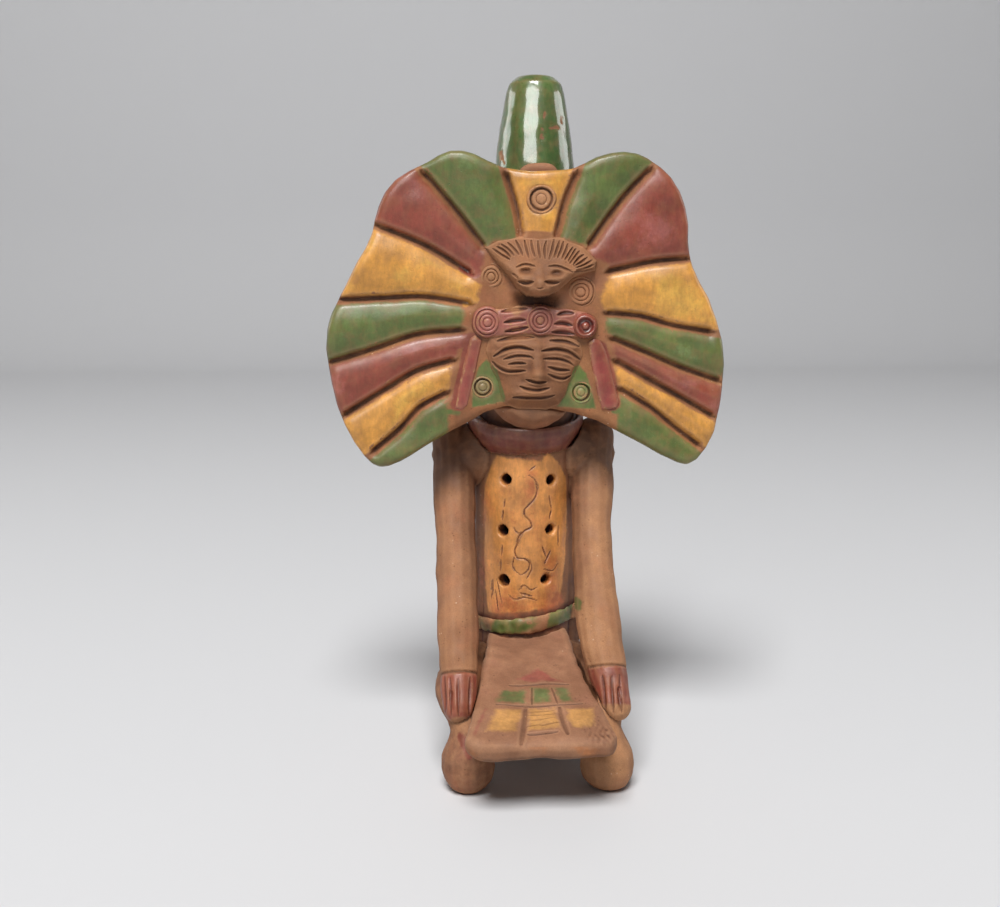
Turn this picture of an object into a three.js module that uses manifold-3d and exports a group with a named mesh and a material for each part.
// A hand-built clay whistle figurine: an upright six-hole flute whose barrel is the torso of a seated
// figure with a fan headdress. The clay pieces are turned, rolled, cut or pressed one by one, and then
// luted together with slip. Millimetres, +Z up, the figure faces -Y.
import * as THREE from "three";
import { mergeVertices } from "three/addons/utils/BufferGeometryUtils.js";
import Module from "manifold-3d";

const wasm = await Module();
wasm.setup();

// Driving dimensions

const slipGap = 0.3; // thickness of the slip joint between two pieces
const overrun = 6; // how far a cutter runs past what it cuts
const weldReach = 0.02; // corners left by cuts that are closer than this become one corner
const cornerReach = 1e-4; // corners of a blank that are closer than this are the same corner

const tube = {
  footRadius: 19.6,
  hipRadius: 19.9,
  chestRadius: 19.2,
  seamRadius: 16.6,
  hipHeight: 46,
  chestHeight: 108,
  seamHeight: 172, // where the mouthpiece is luted on
  boreRadius: 12.5,
  rimRounding: 1.2,
  leanShare: 0.035, // how far the flute leans aside above the chest, for each millimetre of height
  leanHeight: 97, // how far above the chest it goes on leaning
};

const fingerHole = {
  diameter: 4.6,
  columns: 9.4, // each column's distance from the middle
  lowestHeight: 65.8,
  pitch: 20.2,
};
// How far round the flute and up each hole was drilled off its even place, from the lowest up
const leftHoleStrays = [[-0.2, 0.5], [-0.9, 0.3], [0.4, 0.4]];
const rightHoleStrays = [[-2.3, 1.1], [0, 0.7], [0.2, 0]];

const beak = {
  length: 86.8, // from the seam to the top of the whole figure
  shoulderShare: 0.622, // of the length, where the taper starts
  shoulderRadius: 15.2,
  lipShare: 0.9217,
  lipRadius: 11.2,
  tipRounding: 7.5,
  waistShare: 0.42, // of the way from the shoulder's radius to the lip's, halfway up the taper
};

const voicing = {
  blockBaseShare: 0.3687, // of the mouthpiece's length: the block's lower face and the window's top
  blockRadius: 10.7,
  blockTopShare: 0.8986,
  blockTopRadius: 6.6,
  windwayWidth: 10.5,
  windwayHeight: 1.9,
  windwayStart: 10.4, // distance of its floor from the axis at the window
  windwayEnd: 5.2, // and at the tip
  windowHeight: 8,
  rampLength: 17,
  lipThickness: 0.4, // of the edge that splits the breath
};

const belt = { height: 6.4, stand: 1.4, middleHeight: 48.9, tilt: 7, edgeStandShare: 0.67 };

const collar = { middleHeight: 126, height: 13, baseStand: 0.9, rimStand: 3.8, dish: 2.5, tilt: 12 };
// The collar's outer face from the base towards the top edge, as shares of its stand and height
const collarFaceShares = [
  [0.72, 0.3],
  [1, 0.66],
  [0.94, 0.9],
];
const collarRimShare = 0.7; // of the stand, where the top edge lies
const collarDishShare = 0.3; // and where the dished top starts

const fan = {
  left: 74.8, // reach of the outline on each side of the flute's axis
  right: 72.6,
  belowCollar: 11.8, // how far its lower edge hangs below the middle of the collar
  height: 114.4,
  thickness: 8,
  backFace: 21.4, // distance behind which the fan's back lies, in front of the axis
  edgeRounding: 2.4,
  grooveWidth: 2.7,
  grooveDepth: 2.2,
};
const fanGrooveWidthShares = [0.8, 1, 0.7]; // at its outer end, middle and inner end

// The cut edge of the fan from the notch under the beak down to the arch over the chin, as shares of the
// reach and of the height. The two halves were cut by hand and differ.
const leftEdgeShares = [
  [0.0, 0.94], [0.15, 0.95], [0.28, 0.99], [0.4, 1.0], [0.53, 0.96], [0.67, 0.9],
  [0.745, 0.815], [0.775, 0.73], [0.87, 0.625], [0.95, 0.53], [1.0, 0.41], [0.987, 0.29],
  [0.935, 0.16], [0.845, 0.045], [0.76, 0.0], [0.66, 0.016], [0.5, 0.077], [0.31, 0.148],
  [0.13, 0.195],
];
const rightEdgeShares = [
  [0.21, 0.95], [0.33, 0.985], [0.47, 1.0], [0.59, 0.975], [0.71, 0.91], [0.785, 0.81],
  [0.797, 0.71], [0.83, 0.62], [0.925, 0.51], [0.99, 0.36], [0.985, 0.21], [0.93, 0.07],
  [0.83, 0.0], [0.7, 0.025], [0.46, 0.108], [0.23, 0.17],
];

// Each groove between two feathers, from its outer to its inner end, in the same shares.
const leftGrooveShares = [
  [[0.117, 0.925], [0.05, 0.75]],
  [[0.51, 0.93], [0.24, 0.715]],
  [[0.745, 0.775], [0.306, 0.63]],
  [[0.93, 0.543], [0.308, 0.532]],
  [[0.97, 0.348], [0.35, 0.446]],
  [[0.91, 0.18], [0.395, 0.349]],
  [[0.78, 0.06], [0.427, 0.244]],
];
const rightGrooveShares = [
  [[0.213, 0.928], [0.12, 0.742]],
  [[0.576, 0.942], [0.289, 0.718]],
  [[0.784, 0.671], [0.395, 0.633]],
  [[0.906, 0.44], [0.393, 0.5]],
  [[0.959, 0.281], [0.423, 0.416]],
  [[0.931, 0.167], [0.441, 0.343]],
  [[0.868, 0.07], [0.467, 0.251]],
];

const head = { aboveCollar: 22, halfWidth: 18.5, halfDepth: 13.5, halfHeight: 21, forward: 20, aside: 1 };

// What is pressed on the fan was made to suit it: all these are shares of the fan's height. Places up are
// taken from the fan's lower edge, places aside from the flute's axis.
const faceShares = { halfWidth: 0.1346, halfHeight: 0.1145, up: 0.3173, relief: 0.0455, aside: 0.0105 };
const noseShares = { halfWidth: 0.0253, halfHeight: 0.049, relief: 0.0315, above: 0.0079 };
const eyelidShares = { halfWidth: 0.0524, halfHeight: 0.021, relief: 0.014, apart: 0.0638, above: 0.0437 };
const lipsShares = { halfWidth: 0.0455, halfHeight: 0.0114, relief: 0.0175, below: 0.0559, spacing: 0.0271 };
const browShares = { halfWidth: 0.0594, halfHeight: 0.0079, relief: 0.0131, above: 0.0804 };
// Each feature of the face is seated on its dome at a share of the dome's relief
const seatShares = { nose: 0.72, eyelid: 0.65, lips: 0.66, brow: 0.61 };

const crestShares = {
  aside: 0.035,
  up: 0.5944,
  headHalfWidth: 0.0822,
  headHalfHeight: 0.0699,
  headRelief: 0.0612,
  muzzleHalfWidth: 0.0455,
  muzzleHalfHeight: 0.035,
  muzzleRelief: 0.0822,
  hairReach: 0.1626,
  hairRise: 0.1364,
  hairThickness: 0.0227,
  strandGrooveWidth: 0.007,
  strandGrooveDepth: 0.0105,
};
const hair = {
  startAngle: 14, // degrees, right end of the hair
  endAngle: 144,
  strandCount: 15,
  strandLengthShare: 0.5, // of the hair's reach
  strandInsetShare: 0.42, // of a groove's length, how far its middle lies inside the hair's edge
};

const pelletShares = {
  radius: 0.0376,
  height: 0.0166,
  ringWidth: 0.0096,
  ringDepth: 0.0079,
  bossRadius: 0.0149,
};
const pelletFormShares = { side: 0.7, top: 0.86, ringFloor: 0.6, bossTop: 0.8 };
const crownPelletShares = { aside: 0.0271, up: 0.8532 };
const crestPelletShares = { leftAside: -0.1285, leftUp: 0.6127, rightAside: 0.1609, rightUp: 0.5699 };
const earPelletShares = { leftAside: -0.156, leftUp: 0.2587, rightAside: 0.1635, rightUp: 0.2448 };

const browBandShares = {
  left: 0.1783,
  right: 0.2063,
  pelletAside: 0.028, // of the middle pellet
  up: 0.472,
  height: 0.0752,
  thickness: 0.021,
  grooveLength: 0.0734,
  grooveWidth: 0.0087,
  grooveDepth: 0.0079,
  groovePitch: 0.021,
  rounding: 0.0175,
};

const sideBandShares = {
  width: 0.0472,
  thickness: 0.0131,
  topUp: 0.4108,
  bottomUp: 0.1958,
  topAside: 0.1888,
  bottomAside: 0.2395,
};

const shoulder = { belowCollar: 12, halfHeight: 13.4, halfDepth: 13, middleOut: 17 };

const arm = {
  topAboveCollar: 1,
  topBack: 4,
  topRadius: 9.2,
  elbowShare: 0.465, // of the height from the wrist to the shoulder
  elbowForward: 22.5,
  elbowRadius: 7.7,
  wristHeight: 41,
  wristForward: 51.5,
  wristRadius: 6.9,
  fingertipHeight: 26,
  fingertipForward: 61,
  fingertipRadius: 6,
  cuffWidth: 1.2,
  fingerGrooves: 3,
  fingerGrooveWidth: 0.9,
  fingerGrooveDepth: 1.4,
  fingerPitch: 2.9,
  fingerPlaceShare: 0.85, // of the hand's length, where the grooves are deepest
};
// The two arms were bent by eye: how far out each lies at the shoulder, elbow, wrist and fingertips
const leftArm = { shoulderOut: 29, elbowOut: 28, wristOut: 28, fingertipOut: 27.4 };
const rightArm = { shoulderOut: 28, elbowOut: 24.4, wristOut: 27.4, fingertipOut: 30 };

const leg = {
  hipOut: 14,
  hipForward: 4,
  hipHeight: 30,
  thighOut: 23.6,
  thighForward: 27,
  thighHeight: 32,
  thighRadius: 8.4,
  kneeForward: 47,
  kneeHeight: 34,
  kneeRadius: 9.6,
  shinOut: 25.2,
  shinForward: 56.5,
  shinHeight: 25,
  shinRadius: 6.2,
  footForward: 58,
  footRadius: 9.8,
  heelDepth: 1.4, // how much of the round foot is pressed flat
};
const leftLeg = { kneeOut: 28.2, footOut: 24.5 };
const rightLeg = { kneeOut: 27.4, footOut: 27.1 };

const apron = {
  backForward: 12,
  frontForward: 87.4,
  backHalfWidth: 15.8,
  waistHalfWidth: 18.6,
  frontHalfWidth: 26.4,
  thickness: 7.4,
  topAtFlute: 44.6, // height of the upper face where it meets the flute
  slope: 13, // degrees down towards the front
  cornerRadius: 6,
  edgeRounding: 2.4,
};

const web = { halfWidth: 7.5, aside: 3.2, aboveHead: 3.6, aboveNotch: 2.7, rounding: 5 };

// Heights that follow from these
const beakTop = tube.seamHeight + beak.length;
const taperStart = tube.seamHeight + beak.length * beak.shoulderShare;
const lipHeight = tube.seamHeight + beak.length * beak.lipShare;
const blockBase = tube.seamHeight + beak.length * voicing.blockBaseShare;
const blockTop = tube.seamHeight + beak.length * voicing.blockTopShare;
const fanBase = collar.middleHeight - fan.belowCollar;
const headMiddle = collar.middleHeight + head.aboveCollar;
const armTop = collar.middleHeight + arm.topAboveCollar;
const elbowHeight = THREE.MathUtils.lerp(arm.wristHeight, armTop, arm.elbowShare);

// Facet counts
const roundSides = 32;
const limbSides = 14;
const ballRingShare = 0.62; // rings of a ball for each of its sides

// Colours of bare clay and of the paints
const clay = { color: 0xb0805a, roughness: 0.72, metalness: 0 };
const darkClay = { color: 0x9a6242, roughness: 0.7, metalness: 0 };
const greenPaint = { color: 0x4f7a3c, roughness: 0.38, metalness: 0 };
const redPaint = { color: 0x8a4a42, roughness: 0.5, metalness: 0 };
const ochrePaint = { color: 0xd39a45, roughness: 0.5, metalness: 0 };

// From geometry to solids and back

function solidOf(geometry) {
  const bare = geometry.index ? geometry.toNonIndexed() : geometry.clone();
  for (const name of Object.keys(bare.attributes)) {
    if (name !== "position") bare.deleteAttribute(name);
  }
  const merged = mergeVertices(bare, cornerReach);
  return new wasm.Manifold(
    new wasm.Mesh({
      numProp: 3,
      vertProperties: new Float32Array(merged.attributes.position.array),
      triVerts: new Uint32Array(merged.index.array),
    }),
  );
}

// Cuts leave slivers where faces nearly meet: welding their corners closes them.
function geometryOf(solid) {
  const mesh = solid.getMesh();
  const geometry = new THREE.BufferGeometry();
  geometry.setAttribute("position", new THREE.BufferAttribute(new Float32Array(mesh.vertProperties), 3));
  geometry.setIndex(new THREE.BufferAttribute(new Uint32Array(mesh.triVerts), 1));
  const welded = mergeVertices(geometry, weldReach);
  const corners = [];
  for (let i = 0; i < welded.index.count; i += 3) {
    const [a, b, c] = [0, 1, 2].map((k) => welded.index.getX(i + k));
    if (a !== b && b !== c && c !== a) corners.push(a, b, c);
  }
  welded.setIndex(corners);
  const faceted = welded.toNonIndexed();
  faceted.computeVertexNormals();
  return faceted;
}

// Turned shape: profile points are [radius, height], from the axis or bottom upwards on the outside.
function turned(profile, sides = roundSides) {
  const points = profile.map(([radius, height]) => new THREE.Vector2(radius, height));
  return new THREE.LatheGeometry(points, sides).rotateX(Math.PI / 2);
}

// A ball squashed or stretched to three half sizes, at a place.
function lump(halfX, halfY, halfZ, x, y, z, sides = 16) {
  return new THREE.SphereGeometry(1, sides, Math.round(sides * ballRingShare))
    .scale(halfX, halfY, halfZ)
    .translate(x, y, z);
}

// A plate cut to an outline drawn in X and Z, whose back lies on the plane y = -back.
function plate(outline, back, thickness, rounding, curveSegments = 2) {
  return new THREE.ExtrudeGeometry(outline, {
    depth: thickness - 2 * rounding,
    bevelEnabled: rounding > 0,
    bevelThickness: rounding,
    bevelSize: rounding,
    bevelOffset: -rounding,
    bevelSegments: 2,
    curveSegments,
    steps: 1,
  })
    .translate(0, 0, rounding + back)
    .rotateX(Math.PI / 2);
}

// Rolled coil: a turned blank, with radii spread evenly along its length, bent along a route.
// Both ends are rounded over.
function coil(route, radii, { sides = limbSides, rings = 14, capSteps = 4, grow = 0 } = {}) {
  const curve = new THREE.CatmullRomCurve3(route.map((p) => new THREE.Vector3(...p)), false, "centripetal");
  const length = curve.getLength();
  const radiusAt = (share) => {
    const place = share * (radii.length - 1);
    const i = Math.min(radii.length - 2, Math.floor(place));
    return THREE.MathUtils.lerp(radii[i], radii[i + 1], THREE.MathUtils.smoothstep(place - i, 0, 1)) + grow;
  };
  const first = radiusAt(0);
  const last = radiusAt(1);
  const whole = length + 2 * grow;
  const rounded = (s) => {
    const left = Math.min(1, s / first);
    const right = Math.min(1, (whole - s) / last);
    return Math.sqrt((1 - (1 - left) ** 2) * (1 - (1 - right) ** 2));
  };
  const capShares = [...Array(capSteps).keys()].map((i) => 1 - Math.cos((i / capSteps) * (Math.PI / 2)));
  const places = [
    ...capShares.map((share) => first * share),
    ...[...Array(rings + 1).keys()].map((i) => THREE.MathUtils.lerp(first, whole - last, i / rings)),
    ...capShares.map((share) => whole - last * share).reverse(),
  ];
  const profile = places.map((s) => {
    const share = THREE.MathUtils.clamp((s - grow) / length, 0, 1);
    return new THREE.Vector2(radiusAt(share) * rounded(s), s - grow);
  });
  profile[0].x = 0;
  profile.at(-1).x = 0;
  const blank = new THREE.LatheGeometry(profile, sides);
  const frameCount = 60;
  const frames = curve.computeFrenetFrames(frameCount, false);
  const position = blank.attributes.position;
  const at = new THREE.Vector3();
  for (let i = 0; i < position.count; i++) {
    const s = position.getY(i);
    const share = THREE.MathUtils.clamp(s / length, 0, 1);
    const k = Math.round(share * frameCount);
    curve.getPointAt(share, at);
    at.addScaledVector(frames.tangents[k], s - share * length);
    at.addScaledVector(frames.binormals[k], position.getX(i));
    at.addScaledVector(frames.normals[k], position.getZ(i));
    position.setXYZ(i, at.x, at.y, at.z);
  }
  return blank;
}

function box(sizeX, sizeY, sizeZ, x, y, z) {
  return new THREE.BoxGeometry(sizeX, sizeY, sizeZ).translate(x, y, z);
}

const figurine = new THREE.Group();

function add(name, solid, material) {
  const mesh = new THREE.Mesh(geometryOf(solid), new THREE.MeshStandardMaterial(material));
  mesh.name = name;
  figurine.add(mesh);
}

// The flute's outside, which everything else is pressed against

// Leans what belongs to the flute aside above the chest, with every level kept level. The tip is upright.
function leaned(geometry) {
  const position = geometry.attributes.position;
  for (let i = 0; i < position.count; i++) {
    const above = THREE.MathUtils.clamp(position.getZ(i) - tube.chestHeight, 0, tube.leanHeight);
    position.setX(i, position.getX(i) + tube.leanShare * above);
  }
  return geometry;
}

function fluteOutside(grow = 0) {
  const { footRadius, hipRadius, chestRadius, seamRadius, hipHeight, chestHeight, seamHeight } = tube;
  return [
    [footRadius + grow, tube.rimRounding],
    [hipRadius + grow, hipHeight],
    [chestRadius + grow, chestHeight],
    [seamRadius + grow, seamHeight],
  ];
}

// The space that the flute takes, bore and all, with room for slip around it
function fluteCutter() {
  return solidOf(
    leaned(
      turned([
        [0, -overrun],
        [tube.footRadius + slipGap, -overrun],
        ...fluteOutside(slipGap),
        [beak.shoulderRadius + slipGap, taperStart],
        [beak.lipRadius + slipGap, lipHeight],
        [beak.lipRadius + slipGap, beakTop + overrun],
        [0, beakTop + overrun],
      ]),
    ),
  );
}

const fluteRoom = fluteCutter();

// Flute tube, the torso: open at the foot, with two columns of finger holes

function fingerHoleCutter(column, row, [round, up]) {
  const { diameter, columns, lowestHeight, pitch } = fingerHole;
  const reach = tube.hipRadius + overrun;
  const turn = column * Math.asin(columns / tube.hipRadius) + round / tube.hipRadius;
  return new THREE.CylinderGeometry(diameter / 2, diameter / 2, reach, 14)
    .translate(0, -reach / 2, 0)
    .rotateZ(turn)
    .translate(0, 0, lowestHeight + row * pitch + up);
}

function fluteTube() {
  const { footRadius, boreRadius, chestHeight, seamHeight, rimRounding } = tube;
  let solid = solidOf(
    leaned(
      turned([
        [boreRadius + rimRounding, 0],
        [footRadius - rimRounding, 0],
        ...fluteOutside(),
        [boreRadius, seamHeight],
        [boreRadius, chestHeight],
        [boreRadius, rimRounding],
        [boreRadius + rimRounding, 0],
      ]),
    ),
  );
  leftHoleStrays.forEach((stray, row) => {
    solid = solid.subtract(solidOf(fingerHoleCutter(-1, row, stray)));
  });
  rightHoleStrays.forEach((stray, row) => {
    solid = solid.subtract(solidOf(fingerHoleCutter(1, row, stray)));
  });
  return solid;
}

// Mouthpiece with its window, and the block that floors the windway

function windwayCutter() {
  const { windwayWidth, windwayHeight, windwayStart, windwayEnd } = voicing;
  const rise = beakTop - blockBase;
  const slant = Math.atan2(windwayStart - windwayEnd, rise);
  const length = rise / Math.cos(slant) + 2 * overrun;
  return solidOf(
    leaned(
      box(windwayWidth, windwayHeight, length, 0, windwayHeight / 2, length / 2 - overrun)
        .rotateX(slant)
        .translate(0, windwayStart, blockBase),
    ),
  );
}

function windowCutter() {
  const { windowHeight, windwayWidth, windwayStart, windwayHeight } = voicing;
  const depth = tube.seamRadius + overrun - windwayStart;
  const inner = windwayStart - windwayHeight;
  const middleHeight = blockBase - windowHeight / 2;
  return solidOf(leaned(box(windwayWidth, depth, windowHeight, 0, inner + depth / 2, middleHeight)));
}

// The ramp outside the window, which leaves an edge that splits the breath
function rampCutter() {
  const { blockRadius, windowHeight, windwayWidth, rampLength, lipThickness } = voicing;
  const edge = blockBase - windowHeight;
  const outside = beak.shoulderRadius + slipGap;
  const lip = blockRadius + slipGap + lipThickness;
  const wedge = new THREE.Shape([
    new THREE.Vector2(outside, edge - rampLength),
    new THREE.Vector2(outside + overrun, edge - rampLength),
    new THREE.Vector2(outside + overrun, edge + windowHeight / 2),
    new THREE.Vector2(lip, edge + windowHeight / 2),
    new THREE.Vector2(lip, edge),
  ]);
  return solidOf(
    leaned(
      new THREE.ExtrudeGeometry(wedge, { depth: windwayWidth, bevelEnabled: false })
        .translate(0, 0, -windwayWidth / 2)
        .rotateY(Math.PI / 2)
        .rotateX(Math.PI / 2),
    ),
  );
}

function mouthpiece() {
  const { shoulderRadius, lipRadius, tipRounding } = beak;
  const { seamRadius, boreRadius, seamHeight } = tube;
  const { blockRadius, blockTopRadius } = voicing;
  const waistRadius = THREE.MathUtils.lerp(shoulderRadius, lipRadius, beak.waistShare);
  const tipShares = [0.35, 0.7];
  const tip = tipShares.map((share) => {
    const a = (share * Math.PI) / 2;
    return [lipRadius - tipRounding * (1 - Math.cos(a)), lipHeight + (beakTop - lipHeight) * Math.sin(a)];
  });
  const outside = solidOf(
    leaned(
      turned([
        [0, seamHeight],
        [seamRadius, seamHeight],
        [shoulderRadius, taperStart],
        [waistRadius, (taperStart + lipHeight) / 2],
        [lipRadius, lipHeight],
        ...tip,
        [lipRadius - tipRounding, beakTop],
        [0, beakTop],
      ]),
    ),
  );
  const inside = solidOf(
    leaned(
      turned([
        [0, seamHeight - overrun],
        [boreRadius, seamHeight - overrun],
        [boreRadius, seamHeight],
        [blockRadius + slipGap, blockBase],
        [blockTopRadius + slipGap, blockTop + slipGap],
        [0, blockTop + slipGap],
      ]),
    ),
  );
  return outside.subtract(inside).subtract(windwayCutter()).subtract(windowCutter()).subtract(rampCutter());
}

function windwayBlock() {
  const { blockRadius, blockTopRadius } = voicing;
  const plug = solidOf(
    leaned(
      turned([
        [0, blockBase],
        [blockRadius, blockBase],
        [blockTopRadius, blockTop],
        [0, blockTop],
      ]),
    ),
  );
  return plug.subtract(windwayCutter());
}

add("flute_tube", fluteTube(), ochrePaint);
add("mouthpiece", mouthpiece(), greenPaint);
add("windway_block", windwayBlock(), darkClay);

// Belt, a strip laid round the hips a little askew

function beltRing(grow = 0) {
  const { height, stand, middleHeight, tilt, edgeStandShare } = belt;
  const inner = tube.boreRadius;
  const edge = tube.hipRadius + stand * edgeStandShare + grow;
  const outer = tube.hipRadius + stand + grow;
  const half = height / 2 + grow;
  return solidOf(
    turned([
      [inner, -half],
      [edge, -half],
      [outer, -half / 2],
      [outer, half / 2],
      [edge, half],
      [inner, half],
      [inner, -half],
    ])
      .rotateY(THREE.MathUtils.degToRad(-tilt))
      .translate(0, 0, middleHeight),
  );
}

add("belt", beltRing().subtract(fluteRoom), greenPaint);

// Collar, a dished ring that lies on the shoulders

function collarRing(grow = 0) {
  const { middleHeight, height, baseStand, rimStand, dish, tilt } = collar;
  const inner = tube.seamRadius - overrun;
  const outer = tube.chestRadius + grow;
  const base = -height / 2 - grow;
  const top = height / 2 + grow;
  return solidOf(
    turned([
      [inner, base],
      [outer + baseStand, base],
      ...collarFaceShares.map(([out, up]) => [outer + rimStand * out, THREE.MathUtils.lerp(base, top, up)]),
      [tube.chestRadius + rimStand * collarRimShare, top],
      [tube.chestRadius + rimStand * collarDishShare - grow, top - dish],
      [inner, top - dish],
      [inner, base],
    ])
      .rotateX(THREE.MathUtils.degToRad(tilt))
      .translate(0, 0, middleHeight),
  );
}

add("collar", collarRing().subtract(fluteRoom), redPaint);

// Fan headdress, a slab with a groove between each two feathers

const fanFront = fan.backFace + fan.thickness;

// Sizes of what is pressed on the fan, from its shares of the fan's height
function onFan(shares) {
  return Object.fromEntries(Object.entries(shares).map(([name, share]) => [name, share * fan.height]));
}

function fanPoint(side, [across, up]) {
  const reach = side < 0 ? fan.left : fan.right;
  return new THREE.Vector2(side * across * reach, fanBase + up * fan.height);
}

function fanOutline(drop = 0) {
  const left = leftEdgeShares.map((share) => fanPoint(-1, share));
  const right = rightEdgeShares.map((share) => fanPoint(1, share)).reverse();
  const points = [...left, ...right].map((p) => new THREE.Vector2(p.x, p.y - drop));
  const shape = new THREE.Shape();
  shape.moveTo(points[0].x, points[0].y);
  shape.splineThru([...points.slice(1), points[0]]);
  return shape;
}

function fanGroove(side, [outer, inner]) {
  const from = fanPoint(side, outer);
  const to = fanPoint(side, inner);
  const half = fan.grooveWidth / 2;
  const route = [0, 0.5, 1].map((share) => [
    THREE.MathUtils.lerp(from.x, to.x, share),
    0,
    THREE.MathUtils.lerp(from.y, to.y, share),
  ]);
  const radii = fanGrooveWidthShares.map((share) => half * share);
  return coil(route, radii, { sides: 8, rings: 2, capSteps: 2 })
    .scale(1, fan.grooveDepth / half, 1)
    .translate(0, -fanFront, 0);
}

function headdress() {
  let solid = solidOf(plate(fanOutline(), fan.backFace, fan.thickness, fan.edgeRounding));
  for (const share of leftGrooveShares) solid = solid.subtract(solidOf(fanGroove(-1, share)));
  for (const share of rightGrooveShares) solid = solid.subtract(solidOf(fanGroove(1, share)));
  return solid;
}

add("headdress", headdress(), ochrePaint);

// Room for the fan's lower edge, cut out of what reaches under it
function fanRoom() {
  const back = fan.backFace - slipGap;
  const thickness = fan.thickness + 2 * slipGap;
  return solidOf(plate(fanOutline(), back, thickness, 0)).add(
    solidOf(plate(fanOutline(slipGap), back, thickness, 0)),
  );
}

// Head, a ball of clay between the flute and the fan, whose chin shows under the arch

function headBall() {
  const { halfWidth, halfDepth, halfHeight, forward, aside } = head;
  const ball = solidOf(lump(halfWidth, halfDepth, halfHeight, aside, -forward, headMiddle, 20));
  const room = 2 * head.halfWidth + overrun;
  const before = box(room, room, 2 * room, aside, -fanFront + slipGap - room / 2, headMiddle);
  return ball
    .subtract(fluteRoom)
    .subtract(collarRing(slipGap))
    .subtract(fanRoom())
    .subtract(solidOf(before));
}

add("head", headBall(), clay);

// Pressed masks on the fan's front face

function reliefCutter() {
  const room = fan.left + fan.right;
  return solidOf(box(room, room, 2 * room, 0, -fanFront + room / 2, fanBase + fan.height / 2));
}

const behindFan = reliefCutter();

function relief(halfWidth, height, halfHeight, x, lift, z, sides = 14) {
  return solidOf(lump(halfWidth, height, halfHeight, x, -fanFront - lift, z, sides));
}

function faceMask() {
  const { halfWidth, halfHeight, up, relief: rise, aside } = onFan(faceShares);
  const [nose, eyelid, lips, brow] = [noseShares, eyelidShares, lipsShares, browShares].map(onFan);
  const height = fanBase + up;
  const pressed = (feature, seatShare, x, z, sides) =>
    relief(feature.halfWidth, feature.relief, feature.halfHeight, x, rise * seatShare, z, sides);
  let solid = relief(halfWidth, rise, halfHeight, aside, 0, height, 20);
  solid = solid.add(pressed(nose, seatShares.nose, aside, height + nose.above, 10));
  for (const side of [-1, 1]) {
    const x = aside + side * eyelid.apart;
    solid = solid.add(pressed(eyelid, seatShares.eyelid, x, height + eyelid.above, 10));
    solid = solid.add(pressed(brow, seatShares.brow, x, height + brow.above, 8));
  }
  for (const row of [0, 1]) {
    solid = solid.add(pressed(lips, seatShares.lips, aside, height - lips.below - row * lips.spacing, 8));
  }
  return solid.subtract(behindFan);
}

add("face_mask", faceMask(), clay);

const crest = onFan(crestShares);
const crestHeight = fanBase + crest.up;

function hairOutline() {
  const { aside, hairReach, hairRise } = crest;
  const shape = new THREE.Shape();
  const [from, to] = [hair.startAngle, hair.endAngle].map(THREE.MathUtils.degToRad);
  shape.moveTo(aside, crestHeight);
  shape.absellipse(aside, crestHeight, hairReach, hairRise, from, to, false, 0);
  shape.closePath();
  return shape;
}

function crestMask() {
  const { aside, hairThickness, strandGrooveDepth, strandGrooveWidth } = crest;
  const { startAngle, endAngle, strandCount, strandLengthShare, strandInsetShare } = hair;
  let solid = solidOf(plate(hairOutline(), fanFront, hairThickness, 0, 20));
  for (let i = 1; i < strandCount; i++) {
    const a = THREE.MathUtils.degToRad(THREE.MathUtils.lerp(startAngle, endAngle, i / strandCount));
    const reach = Math.hypot(crest.hairReach * Math.cos(a), crest.hairRise * Math.sin(a));
    const length = reach * strandLengthShare;
    const inset = length * strandInsetShare;
    const groove = box(length, 2 * strandGrooveDepth, strandGrooveWidth, reach - inset, 0, 0)
      .rotateY(-a)
      .translate(aside, -fanFront - hairThickness, crestHeight);
    solid = solid.subtract(solidOf(groove));
  }
  const { headHalfWidth, headHalfHeight, headRelief } = crest;
  const { muzzleHalfWidth, muzzleHalfHeight, muzzleRelief } = crest;
  const faceBall = relief(headHalfWidth, headRelief, headHalfHeight, aside, 0, crestHeight, 16);
  const muzzleHeight = crestHeight - headHalfHeight + muzzleHalfHeight;
  const muzzle = relief(muzzleHalfWidth, muzzleRelief, muzzleHalfHeight, aside, 0, muzzleHeight, 12);
  return solid.add(faceBall).add(muzzle).subtract(behindFan);
}

add("crest_mask", crestMask(), clay);

// Brow band with its grooves, and the stamped pellets

const browBand = onFan(browBandShares);
const bandHeight = fanBase + browBand.up;
const bandFront = fanFront + browBand.thickness;
const pellet = onFan(pelletShares);

function roundedStrip(left, right, low, high, radius) {
  const shape = new THREE.Shape();
  shape.moveTo(left + radius, low);
  shape.lineTo(right - radius, low);
  shape.absarc(right - radius, low + radius, radius, -Math.PI / 2, 0, false);
  shape.lineTo(right, high - radius);
  shape.absarc(right - radius, high - radius, radius, 0, Math.PI / 2, false);
  shape.lineTo(left + radius, high);
  shape.absarc(left + radius, high - radius, radius, Math.PI / 2, Math.PI, false);
  shape.lineTo(left, low + radius);
  shape.absarc(left + radius, low + radius, radius, Math.PI, 1.5 * Math.PI, false);
  return shape;
}

// The three pellets of the band, as distances from the flute's axis
const bandLeftPellet = pellet.radius - browBand.left;
const bandRightPellet = browBand.right - pellet.radius;
const bandMiddlePellet = browBand.pelletAside;

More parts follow.
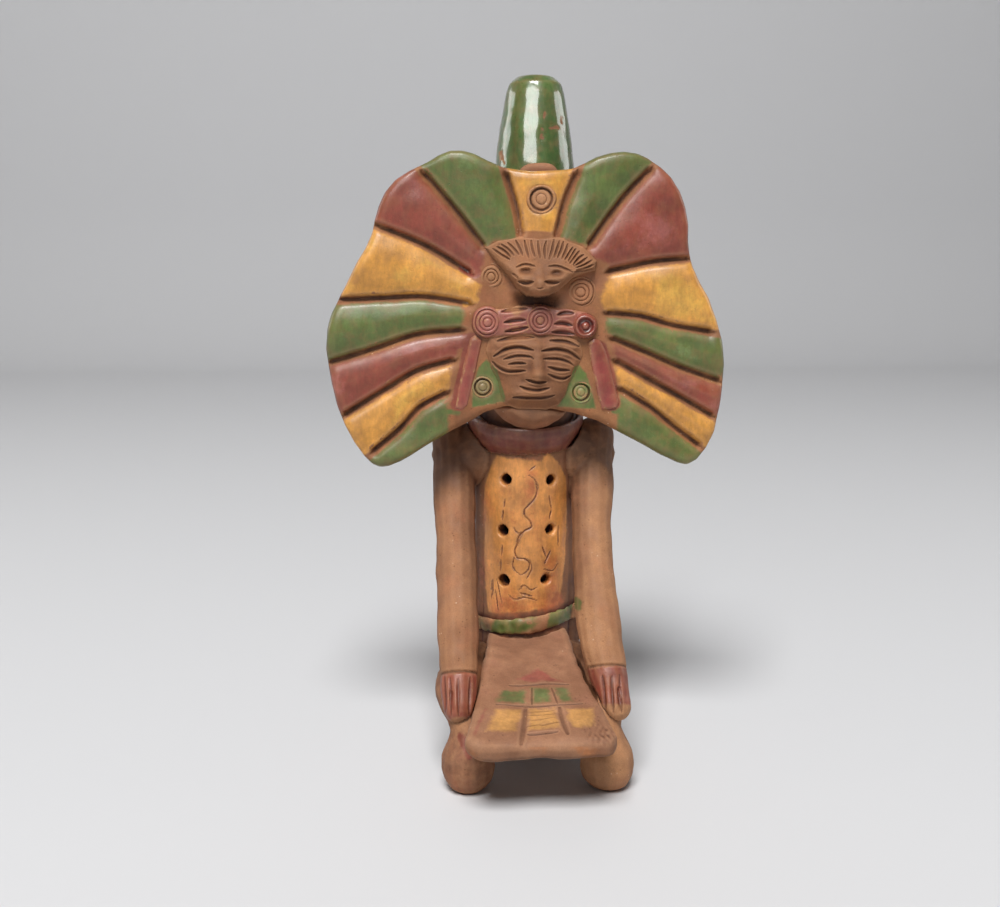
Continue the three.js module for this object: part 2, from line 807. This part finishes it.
function browStrip() {
  const { left, right, height, thickness, rounding } = browBand;
  const low = bandHeight - height / 2;
  let solid = solidOf(plate(roundedStrip(-left, right, low, low + height, rounding), fanFront, thickness, 0));
  for (const [from, to] of [
    [bandLeftPellet, bandMiddlePellet],
    [bandMiddlePellet, bandRightPellet],
  ]) {
    for (const row of [-1, 0, 1]) {
      const groove = box(browBand.grooveLength, 2 * browBand.grooveDepth, browBand.grooveWidth, 0, 0, 0);
      groove.translate((from + to) / 2, -bandFront, bandHeight + row * browBand.groovePitch);
      solid = solid.subtract(solidOf(groove));
    }
  }
  return solid;
}

add("brow_band", browStrip(), redPaint);

function stampedPellet(x, z, back) {
  const { radius, height, ringWidth, ringDepth, bossRadius } = pellet;
  const { side, top, ringFloor, bossTop } = pelletFormShares;
  return solidOf(
    turned(
      [
        [0, 0],
        [radius, 0],
        [radius, height * side],
        [radius * top, height],
        [bossRadius + ringWidth, height],
        [bossRadius + ringWidth * ringFloor, height - ringDepth],
        [bossRadius, height - ringDepth],
        [bossRadius * bossTop, height],
        [0, height],
      ],
      14,
    )
      .rotateX(Math.PI / 2)
      .translate(x, -back, z),
  );
}

const crownPellet = onFan(crownPelletShares);
const crestPellets = onFan(crestPelletShares);
const earPellets = onFan(earPelletShares);
const pelletPlaces = [
  ["crown_pellet", crownPellet.aside, fanBase + crownPellet.up, fanFront, ochrePaint],
  ["crest_pellet_left", crestPellets.leftAside, fanBase + crestPellets.leftUp, fanFront, clay],
  ["crest_pellet_right", crestPellets.rightAside, fanBase + crestPellets.rightUp, fanFront, clay],
  ["brow_pellet_left", bandLeftPellet, bandHeight, bandFront, redPaint],
  ["brow_pellet_middle", bandMiddlePellet, bandHeight, bandFront, redPaint],
  ["brow_pellet_right", bandRightPellet, bandHeight, bandFront, redPaint],
  ["ear_pellet_left", earPellets.leftAside, fanBase + earPellets.leftUp, fanFront, greenPaint],
  ["ear_pellet_right", earPellets.rightAside, fanBase + earPellets.rightUp, fanFront, greenPaint],
];
for (const [name, x, z, back, paint] of pelletPlaces) add(name, stampedPellet(x, z, back), paint);

// Side bands that hang from the brow band beside the face

function hangingBand(side) {
  const { width, thickness, topUp, bottomUp, topAside, bottomAside } = onFan(sideBandShares);
  const [top, bottom] = [fanBase + topUp, fanBase + bottomUp];
  const shape = new THREE.Shape([
    new THREE.Vector2(side * (topAside - width / 2), top),
    new THREE.Vector2(side * (bottomAside - width / 2), bottom),
    new THREE.Vector2(side * (bottomAside + width / 2), bottom),
    new THREE.Vector2(side * (topAside + width / 2), top),
  ]);
  return solidOf(plate(shape, fanFront, thickness, 0));
}

add("side_band_left", hangingBand(-1), redPaint);
add("side_band_right", hangingBand(1), redPaint);

// Web of clay that fills between the beak and the back of the fan

function webFill() {
  const { halfWidth, aside, aboveHead, aboveNotch, rounding } = web;
  const low = headMiddle + head.halfHeight + aboveHead;
  const high = fanPoint(-1, leftEdgeShares[0]).y + aboveNotch;
  const outline = roundedStrip(aside - halfWidth, aside + halfWidth, low, high, rounding);
  const depth = fan.backFace - slipGap;
  return solidOf(plate(outline, 0, depth, 0)).subtract(fluteRoom);
}

add("web", webFill(), darkClay);

// Apron, a sloping slab between the knees

function apronOutline(grow = 0) {
  const { backForward, frontForward, backHalfWidth, waistHalfWidth, frontHalfWidth, cornerRadius } = apron;
  const back = -backForward + grow;
  const front = -frontForward - grow;
  const waist = (back + front) / 2;
  const half = frontHalfWidth + grow;
  const bow = waistHalfWidth + grow;
  const corner = front + cornerRadius;
  const shape = new THREE.Shape();
  shape.moveTo(-backHalfWidth - grow, back);
  shape.quadraticCurveTo(-bow, waist, -half, corner);
  shape.absarc(cornerRadius - half, corner, cornerRadius, Math.PI, 1.5 * Math.PI, false);
  shape.lineTo(half - cornerRadius, front);
  shape.absarc(half - cornerRadius, corner, cornerRadius, -Math.PI / 2, 0, false);
  shape.quadraticCurveTo(bow, waist, backHalfWidth + grow, back);
  return shape;
}

function apronSlab(grow = 0) {
  const { thickness, topAtFlute, slope, edgeRounding } = apron;
  const flat = new THREE.ExtrudeGeometry(apronOutline(grow), {
    depth: thickness + 2 * grow - 2 * edgeRounding,
    bevelEnabled: true,
    bevelThickness: edgeRounding,
    bevelSize: edgeRounding,
    bevelOffset: -edgeRounding,
    bevelSegments: 2,
    curveSegments: 6,
  }).translate(0, 0, edgeRounding - thickness - grow);
  const pivot = tube.hipRadius;
  return solidOf(
    flat
      .translate(0, pivot, 0)
      .rotateX(THREE.MathUtils.degToRad(slope))
      .translate(0, -pivot, topAtFlute),
  );
}

add("apron", apronSlab().subtract(fluteRoom).subtract(beltRing(slipGap)), clay);
const apronRoom = apronSlab(slipGap);

// Legs, one coil each: from the hip over the knee to a round foot

function legCoil(side, { kneeOut, footOut }, grow = 0) {
  const route = [
    [side * leg.hipOut, -leg.hipForward, leg.hipHeight],
    [side * leg.thighOut, -leg.thighForward, leg.thighHeight],
    [side * kneeOut, -leg.kneeForward, leg.kneeHeight],
    [side * leg.shinOut, -leg.shinForward, leg.shinHeight],
    [side * footOut, -leg.footForward, -leg.heelDepth],
  ];
  const { thighRadius, kneeRadius, shinRadius, footRadius } = leg;
  const calfRadius = (kneeRadius + shinRadius) / 2;
  const radii = [
    thighRadius, thighRadius, kneeRadius, kneeRadius, calfRadius, shinRadius, footRadius, footRadius,
  ];
  return solidOf(coil(route, radii, { grow }));
}

const underFloor = solidOf(box(4 * fan.left, 4 * fan.left, 2 * overrun, 0, 0, -overrun));

function legOf(side, place) {
  return legCoil(side, place).subtract(fluteRoom).subtract(apronRoom).subtract(underFloor);
}

add("leg_left", legOf(-1, leftLeg), clay);
add("leg_right", legOf(1, rightLeg), clay);

// Arms, one coil each from the shoulder to the hand on the knee, with a lump that joins it to the flute

function armRoute(side, { shoulderOut, elbowOut, wristOut, fingertipOut }) {
  return [
    [side * shoulderOut, arm.topBack, armTop],
    [side * elbowOut, -arm.elbowForward, elbowHeight],
    [side * wristOut, -arm.wristForward, arm.wristHeight],
    [side * fingertipOut, -arm.fingertipForward, arm.fingertipHeight],
  ];
}

function shoulderLump(side, { shoulderOut }) {
  const { belowCollar, halfHeight, halfDepth, middleOut } = shoulder;
  const halfWidth = shoulderOut + arm.topRadius - middleOut;
  const height = collar.middleHeight - belowCollar;
  return solidOf(lump(halfWidth, halfDepth, halfHeight, side * middleOut, 0, height));
}

// The grooves that part the fingers, along the back of the hand
function fingerCutters(side, place) {
  const [wrist, tip] = armRoute(side, place).slice(-2).map((p) => new THREE.Vector3(...p));
  const along = tip.clone().sub(wrist);
  const slant = Math.atan2(wrist.z - tip.z, wrist.y - tip.y);
  const outward = new THREE.Vector3(0, -Math.sin(slant), Math.cos(slant));
  const middle = wrist.clone().addScaledVector(along, arm.fingerPlaceShare);
  middle.addScaledVector(outward, arm.fingertipRadius);
  const cutters = [];
  for (let i = 0; i < arm.fingerGrooves; i++) {
    const across = (i - (arm.fingerGrooves - 1) / 2) * arm.fingerPitch;
    cutters.push(
      solidOf(
        box(arm.fingerGrooveWidth, along.length(), 2 * arm.fingerGrooveDepth, 0, 0, 0)
          .rotateX(slant)
          .translate(middle.x + across, middle.y, middle.z),
      ),
    );
  }
  return cutters;
}

// The groove that sets the painted hand off from the arm
function cuffCutter(side, place) {
  const [, elbow, wrist, tip] = armRoute(side, place).map((p) => new THREE.Vector3(...p));
  const slant = Math.atan2(elbow.z - tip.z, elbow.y - tip.y);
  return solidOf(
    new THREE.TorusGeometry(arm.wristRadius, arm.cuffWidth / 2, 6, limbSides)
      .rotateX(Math.PI / 2 + slant)
      .translate(wrist.x, wrist.y, wrist.z),
  );
}

function armOf(side, armPlace, legPlace) {
  const { topRadius, elbowRadius, wristRadius, fingertipRadius } = arm;
  const upperArmRadius = (topRadius + elbowRadius) / 2;
  const forearmRadius = (elbowRadius + wristRadius) / 2;
  const radii = [
    topRadius, upperArmRadius, elbowRadius, elbowRadius, forearmRadius, wristRadius, fingertipRadius,
  ];
  let solid = solidOf(coil(armRoute(side, armPlace), radii))
    .add(shoulderLump(side, armPlace))
    .subtract(fluteRoom)
    .subtract(legCoil(side, legPlace, slipGap))
    .subtract(apronRoom)
    .subtract(collarRing(slipGap))
    .subtract(cuffCutter(side, armPlace));
  for (const cutter of fingerCutters(side, armPlace)) solid = solid.subtract(cutter);
  return solid;
}

add("arm_left", armOf(-1, leftArm, leftLeg), clay);
add("arm_right", armOf(1, rightArm, rightLeg), clay);

// The origin goes to the middle of the figure's footprint, on the floor
const bounds = new THREE.Box3().setFromObject(figurine);
const middle = bounds.getCenter(new THREE.Vector3());
figurine.position.set(-middle.x, -middle.y, -bounds.min.z);

export default figurine;
